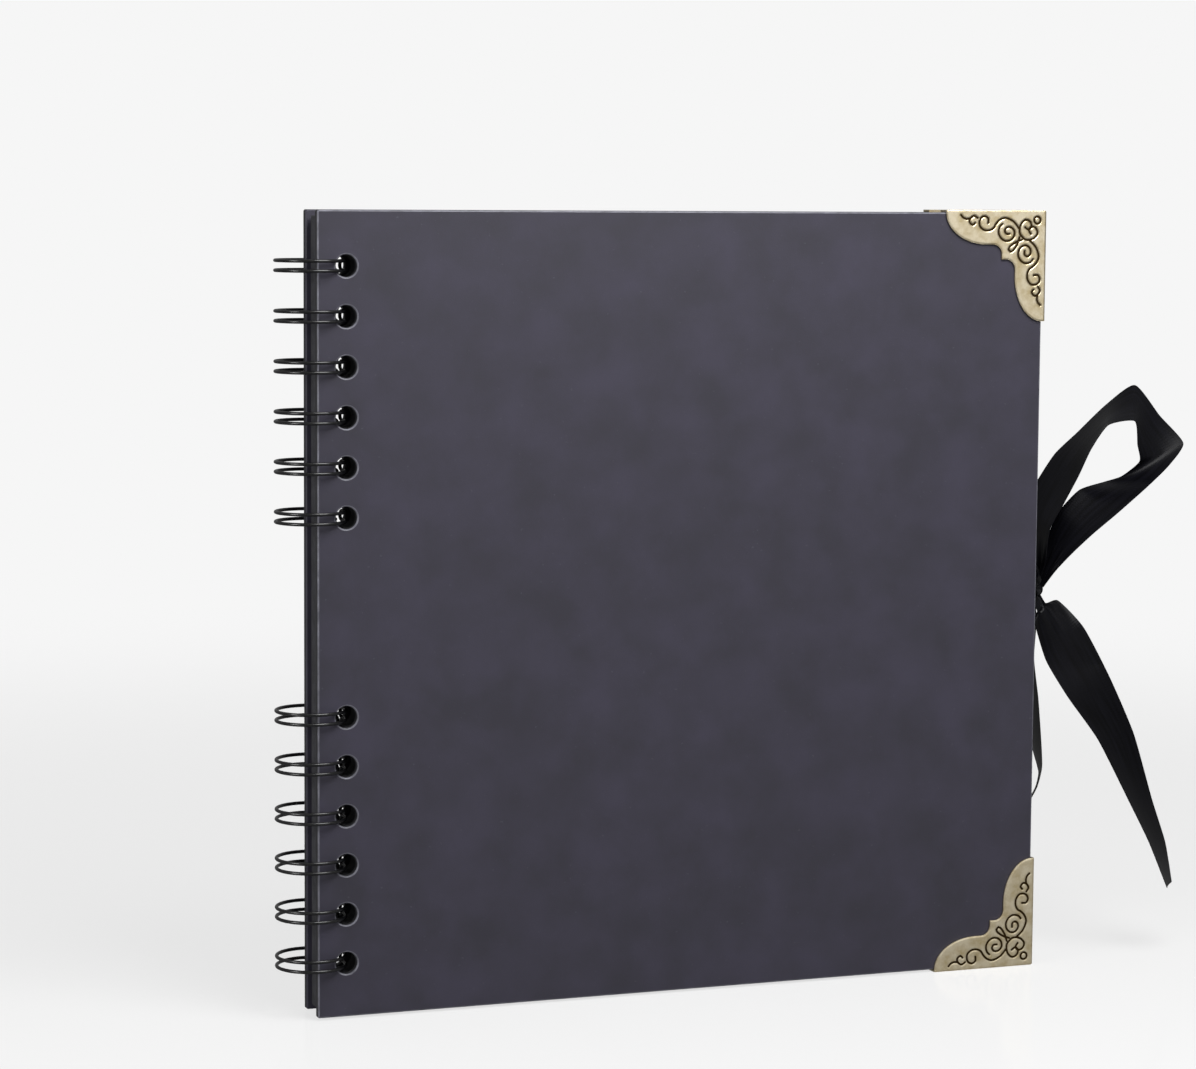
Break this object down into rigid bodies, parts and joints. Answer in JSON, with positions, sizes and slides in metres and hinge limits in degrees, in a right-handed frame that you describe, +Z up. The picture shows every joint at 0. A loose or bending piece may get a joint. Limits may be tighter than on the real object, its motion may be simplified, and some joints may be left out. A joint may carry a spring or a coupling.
{
  "type": "scrapbook album",
  "caption": "Square hardback scrapbook album with black covers, twin-loop wire spine, card leaves, engraved metal corners and a ribbon tied in a bow.",
  "frame": {"origin": "middle of the back cover's bottom face, on which the closed album stands", "axes": "+X from the wire spine to the fore edge, +Y from the front cover to the back cover, +Z up along the spine"},
  "size_m": [0.2617, 0.0522, 0.207],
  "materials": {
    "cover_board": "matte",
    "album_paper": "matte",
    "antique_brass": "satin",
    "black_wire": "gloss",
    "black_satin": "satin"
  },
  "bodies": {
    "back_half": {"back_cover": "cover_board", "corner_back_top": "antique_brass", "corner_back_bottom": "antique_brass", "wire_upper": "black_wire", "wire_lower": "black_wire", "ribbon_back_strap": "black_satin", "ribbon_back_loop": "black_satin", "ribbon_back_tail": "black_satin"},
    "front_half": {"front_cover": "cover_board", "corner_front_top": "antique_brass", "corner_front_bottom": "antique_brass", "ribbon_front_strap": "black_satin", "ribbon_front_loop": "black_satin", "ribbon_front_tail": "black_satin", "ribbon_knot": "black_satin"},
    "leaf_01": {"leaf_01": "album_paper"},
    "leaf_02": {"leaf_02": "album_paper"},
    "leaf_03": {"leaf_03": "album_paper"},
    "leaf_04": {"leaf_04": "album_paper"},
    "leaf_05": {"leaf_05": "album_paper"},
    "leaf_06": {"leaf_06": "album_paper"},
    "leaf_07": {"leaf_07": "album_paper"},
    "leaf_08": {"leaf_08": "album_paper"},
    "leaf_09": {"leaf_09": "album_paper"},
    "leaf_10": {"leaf_10": "album_paper"},
    "leaf_11": {"leaf_11": "album_paper"},
    "leaf_12": {"leaf_12": "album_paper"},
    "leaf_13": {"leaf_13": "album_paper"},
    "leaf_14": {"leaf_14": "album_paper"},
    "leaf_15": {"leaf_15": "album_paper"},
    "leaf_16": {"leaf_16": "album_paper"},
    "leaf_17": {"leaf_17": "album_paper"},
    "leaf_18": {"leaf_18": "album_paper"},
    "leaf_19": {"leaf_19": "album_paper"},
    "leaf_20": {"leaf_20": "album_paper"}
  },
  "joints": [
    {"name": "front_cover_hinge", "type": "hinge", "parent": "back_half", "child": "front_half", "pos_m": [-0.1016, -0.00535, 0], "axis": [0, 0, -1], "range_deg": [0, 178]},
    {"name": "leaf_01_hinge", "type": "hinge", "parent": "back_half", "child": "leaf_01", "pos_m": [-0.1016, -0.00535, 0], "axis": [0, 0, -1], "range_deg": [0, 170]},
    {"name": "leaf_02_hinge", "type": "hinge", "parent": "back_half", "child": "leaf_02", "pos_m": [-0.1016, -0.00535, 0], "axis": [0, 0, -1], "range_deg": [0, 161.5]},
    {"name": "leaf_03_hinge", "type": "hinge", "parent": "back_half", "child": "leaf_03", "pos_m": [-0.1016, -0.00535, 0], "axis": [0, 0, -1], "range_deg": [0, 153.1]},
    {"name": "leaf_04_hinge", "type": "hinge", "parent": "back_half", "child": "leaf_04", "pos_m": [-0.1016, -0.00535, 0], "axis": [0, 0, -1], "range_deg": [0, 144.6]},
    {"name": "leaf_05_hinge", "type": "hinge", "parent": "back_half", "child": "leaf_05", "pos_m": [-0.1016, -0.00535, 0], "axis": [0, 0, -1], "range_deg": [0, 136.1]},
    {"name": "leaf_06_hinge", "type": "hinge", "parent": "back_half", "child": "leaf_06", "pos_m": [-0.1016, -0.00535, 0], "axis": [0, 0, -1], "range_deg": [0, 127.6]},
    {"name": "leaf_07_hinge", "type": "hinge", "parent": "back_half", "child": "leaf_07", "pos_m": [-0.1016, -0.00535, 0], "axis": [0, 0, -1], "range_deg": [0, 119.2]},
    {"name": "leaf_08_hinge", "type": "hinge", "parent": "back_half", "child": "leaf_08", "pos_m": [-0.1016, -0.00535, 0], "axis": [0, 0, -1], "range_deg": [0, 110.7]},
    {"name": "leaf_09_hinge", "type": "hinge", "parent": "back_half", "child": "leaf_09", "pos_m": [-0.1016, -0.00535, 0], "axis": [0, 0, -1], "range_deg": [0, 102.2]},
    {"name": "leaf_10_hinge", "type": "hinge", "parent": "back_half", "child": "leaf_10", "pos_m": [-0.1016, -0.00535, 0], "axis": [0, 0, -1], "range_deg": [0, 93.7]},
    {"name": "leaf_11_hinge", "type": "hinge", "parent": "back_half", "child": "leaf_11", "pos_m": [-0.1016, -0.00535, 0], "axis": [0, 0, -1], "range_deg": [0, 85.3]},
    {"name": "leaf_12_hinge", "type": "hinge", "parent": "back_half", "child": "leaf_12", "pos_m": [-0.1016, -0.00535, 0], "axis": [0, 0, -1], "range_deg": [0, 76.8]},
    {"name": "leaf_13_hinge", "type": "hinge", "parent": "back_half", "child": "leaf_13", "pos_m": [-0.1016, -0.00535, 0], "axis": [0, 0, -1], "range_deg": [0, 68.3]},
    {"name": "leaf_14_hinge", "type": "hinge", "parent": "back_half", "child": "leaf_14", "pos_m": [-0.1016, -0.00535, 0], "axis": [0, 0, -1], "range_deg": [0, 59.8]},
    {"name": "leaf_15_hinge", "type": "hinge", "parent": "back_half", "child": "leaf_15", "pos_m": [-0.1016, -0.00535, 0], "axis": [0, 0, -1], "range_deg": [0, 51.4]},
    {"name": "leaf_16_hinge", "type": "hinge", "parent": "back_half", "child": "leaf_16", "pos_m": [-0.1016, -0.00535, 0], "axis": [0, 0, -1], "range_deg": [0, 42.9]},
    {"name": "leaf_17_hinge", "type": "hinge", "parent": "back_half", "child": "leaf_17", "pos_m": [-0.1016, -0.00535, 0], "axis": [0, 0, -1], "range_deg": [0, 34.4]},
    {"name": "leaf_18_hinge", "type": "hinge", "parent": "back_half", "child": "leaf_18", "pos_m": [-0.1016, -0.00535, 0], "axis": [0, 0, -1], "range_deg": [0, 25.9]},
    {"name": "leaf_19_hinge", "type": "hinge", "parent": "back_half", "child": "leaf_19", "pos_m": [-0.1016, -0.00535, 0], "axis": [0, 0, -1], "range_deg": [0, 17.5]},
    {"name": "leaf_20_hinge", "type": "hinge", "parent": "back_half", "child": "leaf_20", "pos_m": [-0.1016, -0.00535, 0], "axis": [0, 0, -1], "range_deg": [0, 9]}
  ],
  "couplings": [
    {"joint": "leaf_01_hinge", "follows": "front_cover_hinge", "ratio": 0.95238},
    {"joint": "leaf_02_hinge", "follows": "front_cover_hinge", "ratio": 0.90476},
    {"joint": "leaf_03_hinge", "follows": "front_cover_hinge", "ratio": 0.85714},
    {"joint": "leaf_04_hinge", "follows": "front_cover_hinge", "ratio": 0.80952},
    {"joint": "leaf_05_hinge", "follows": "front_cover_hinge", "ratio": 0.76191},
    {"joint": "leaf_06_hinge", "follows": "front_cover_hinge", "ratio": 0.71429},
    {"joint": "leaf_07_hinge", "follows": "front_cover_hinge", "ratio": 0.66667},
    {"joint": "leaf_08_hinge", "follows": "front_cover_hinge", "ratio": 0.61905},
    {"joint": "leaf_09_hinge", "follows": "front_cover_hinge", "ratio": 0.57143},
    {"joint": "leaf_10_hinge", "follows": "front_cover_hinge", "ratio": 0.52381},
    {"joint": "leaf_11_hinge", "follows": "front_cover_hinge", "ratio": 0.47619},
    {"joint": "leaf_12_hinge", "follows": "front_cover_hinge", "ratio": 0.42857},
    {"joint": "leaf_13_hinge", "follows": "front_cover_hinge", "ratio": 0.38095},
    {"joint": "leaf_14_hinge", "follows": "front_cover_hinge", "ratio": 0.33333},
    {"joint": "leaf_15_hinge", "follows": "front_cover_hinge", "ratio": 0.28571},
    {"joint": "leaf_16_hinge", "follows": "front_cover_hinge", "ratio": 0.2381},
    {"joint": "leaf_17_hinge", "follows": "front_cover_hinge", "ratio": 0.19048},
    {"joint": "leaf_18_hinge", "follows": "front_cover_hinge", "ratio": 0.14286},
    {"joint": "leaf_19_hinge", "follows": "front_cover_hinge", "ratio": 0.095238},
    {"joint": "leaf_20_hinge", "follows": "front_cover_hinge", "ratio": 0.047619}
  ]
}
